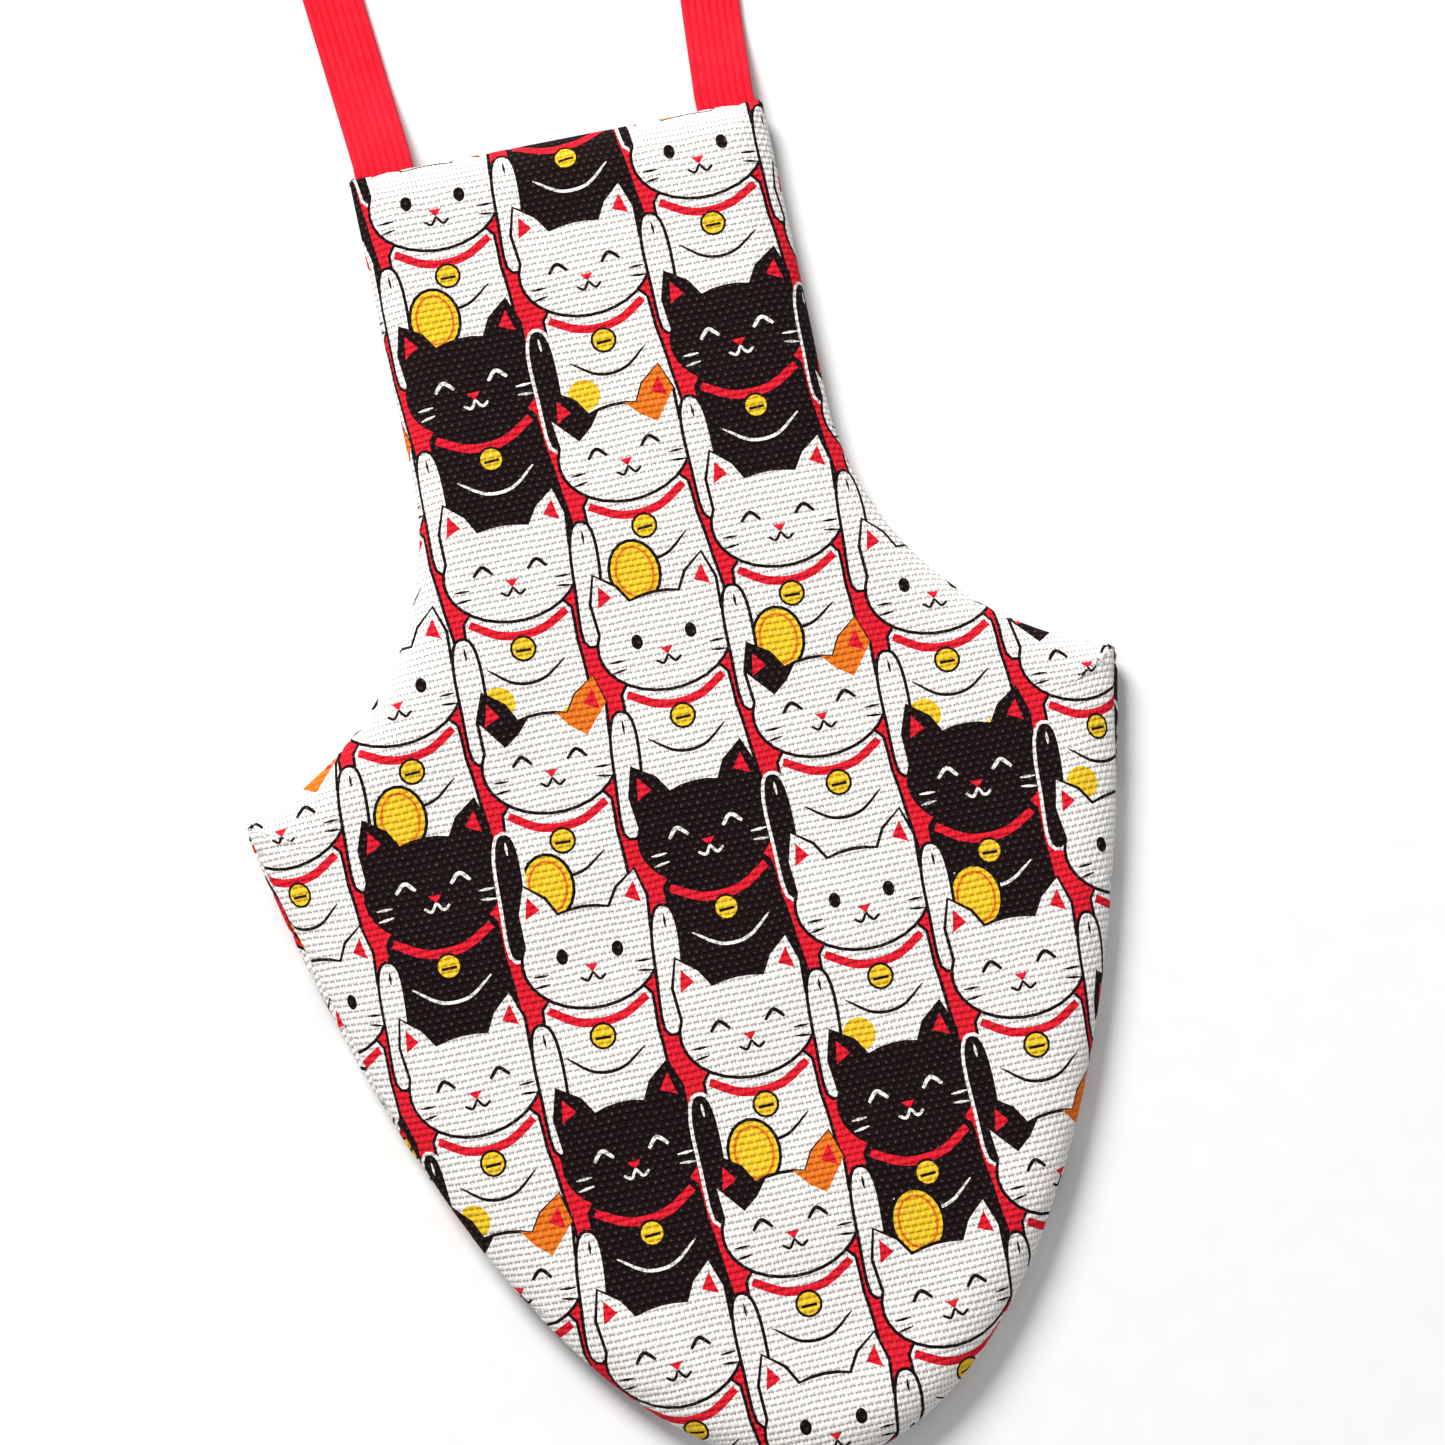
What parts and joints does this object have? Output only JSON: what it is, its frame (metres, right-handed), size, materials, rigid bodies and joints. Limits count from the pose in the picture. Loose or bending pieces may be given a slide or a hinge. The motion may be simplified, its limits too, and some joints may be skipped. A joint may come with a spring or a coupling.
{
  "type": "small fabric bib with elastic neck loop",
  "caption": "Small padded cloth bib, two printed canvas panels sewn round wadding, with a neck loop of flat ribbed elastic that folds up at the top seam.",
  "frame": {"origin": "bottom centre of the whole box: on the surface that the bib lies on, midway across, and midway between its rounded tip and the top of its neck loop", "axes": "X across the bib, +Y from the rounded tip towards the neck loop, +Z out of the front panel"},
  "size_m": [0.0912, 0.204, 0.0063],
  "materials": {
    "canvas_print": "matt cotton-linen canvas printed all over in white, black, red and yellow",
    "wadding": "white polyester wadding",
    "thread": "off-white polyester sewing thread",
    "elastic_red": "red ribbed knitted elastic, slight sheen"
  },
  "bodies": {
    "bib": {"front_panel": "canvas_print", "back_panel": "canvas_print", "wadding": "wadding", "perimeter_seam": "thread", "closing_stitch": "thread", "left_tail": "elastic_red", "right_tail": "elastic_red", "left_tack": "thread", "right_tack": "thread"},
    "neck_loop": {"neck_elastic": "elastic_red"}
  },
  "joints": [
    {"name": "loop_fold", "type": "hinge", "parent": "bib", "child": "neck_loop", "pos_m": [0, 0.0385, 0.0021], "axis": [1, 0, 0], "range_deg": [0, 120]}
  ]
}
